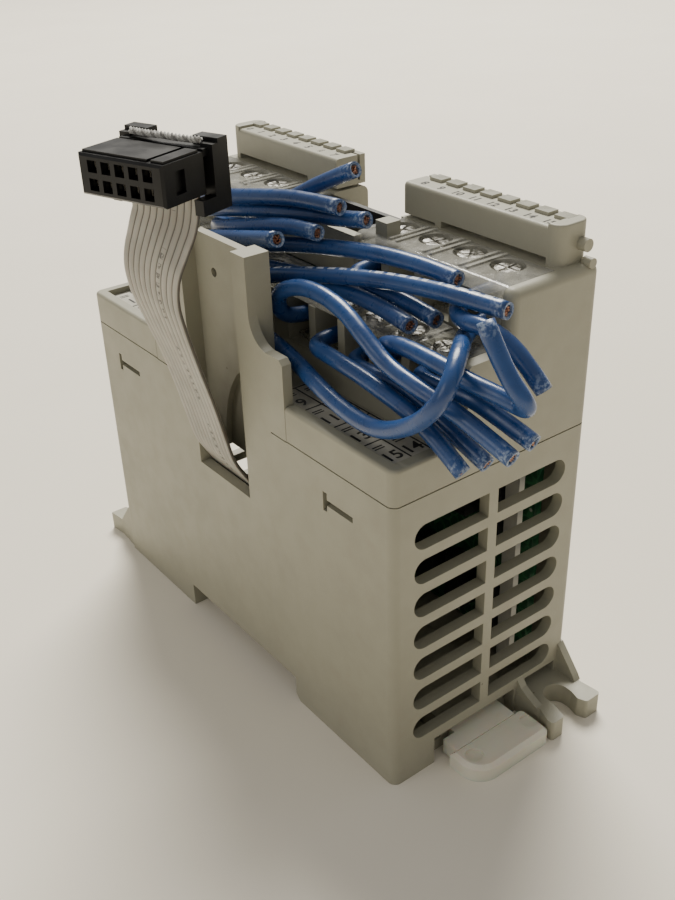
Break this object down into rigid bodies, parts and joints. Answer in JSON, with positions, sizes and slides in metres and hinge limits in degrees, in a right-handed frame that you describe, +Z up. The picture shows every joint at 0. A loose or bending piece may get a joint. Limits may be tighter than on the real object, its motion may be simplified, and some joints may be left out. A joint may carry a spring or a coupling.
{
  "type": "plc input module",
  "caption": "Slim rail-mounted module with two tiers of screw terminals, cut-off blue wires, indicator bars and a ribbon cable with a socket.",
  "frame": {"origin": "middle of the case's underside, at the surface that it stands on", "axes": "+Z up, +Y along the case away from the latch, -X out of the broad side with the ribbon channel"},
  "size_m": [0.0593, 0.114, 0.101],
  "materials": {
    "case_plastic": "fine moulded texture, light dirt",
    "lens_plastic": "satin translucent",
    "clear_plastic": "clear moulded polycarbonate",
    "label_paper": "printed card",
    "circuit_board": "solder mask",
    "plated_steel": "bright plated",
    "contact_metal": "plated",
    "black_plastic": "moulded",
    "connector_plastic": "satin moulded",
    "braid": "braided cord",
    "ribbon_insulation": "satin vinyl",
    "latch_plastic": "natural nylon, slightly translucent",
    "frame_plastic": "moulded",
    "led_plastic": "clear epoxy",
    "wire_insulation": "glossy vinyl"
  },
  "bodies": {
    "case": {"board_connector": "black_plastic", "board_frame": "frame_plastic", "bus_header": "black_plastic", "bus_pins": "contact_metal", "capacitors": "black_plastic", "circuit_board_left": "circuit_board", "circuit_board_right": "circuit_board", "circuit_board_top": "circuit_board", "controller_chip": "black_plastic", "idc_contacts": "contact_metal", "idc_cover": "connector_plastic", "idc_socket": "connector_plastic", "label_card_far": "label_paper", "label_card_near": "label_paper", "led_bar_far": "case_plastic", "led_bar_near": "case_plastic", "led_boards": "circuit_board", "light_pipes_far": "lens_plastic", "light_pipes_near": "lens_plastic", "lower_case": "case_plastic", "optocouplers": "black_plastic", "pull_loop": "braid", "ribbon_cable": "ribbon_insulation", "ribbon_header": "black_plastic", "status_leds": "led_plastic", "terminal_block_lower_far": "case_plastic", "terminal_block_lower_near": "case_plastic", "terminal_block_upper_far": "case_plastic", "terminal_block_upper_near": "case_plastic", "terminal_clamps": "plated_steel", "terminal_cover_lower_far": "clear_plastic", "terminal_cover_lower_near": "clear_plastic", "terminal_cover_upper_far": "clear_plastic", "terminal_cover_upper_near": "clear_plastic", "terminal_screws": "plated_steel", "upper_case": "case_plastic", "wire_01": "wire_insulation", "wire_02": "wire_insulation", "wire_03": "wire_insulation", "wire_04": "wire_insulation", "wire_05": "wire_insulation", "wire_06": "wire_insulation", "wire_07": "wire_insulation", "wire_08": "wire_insulation", "wire_09": "wire_insulation", "wire_10": "wire_insulation", "wire_11": "wire_insulation", "wire_12": "wire_insulation", "wire_13": "wire_insulation", "wire_14": "wire_insulation", "wire_15": "wire_insulation", "wire_16": "wire_insulation"},
    "latch": {"din_latch": "latch_plastic"}
  },
  "joints": [
    {"name": "latch_slide", "type": "slide", "parent": "case", "child": "latch", "axis": [0, -1, 0], "range_m": [0, 0.004], "stiffness_N_per_m": 400, "springref_m": -0.002}
  ]
}
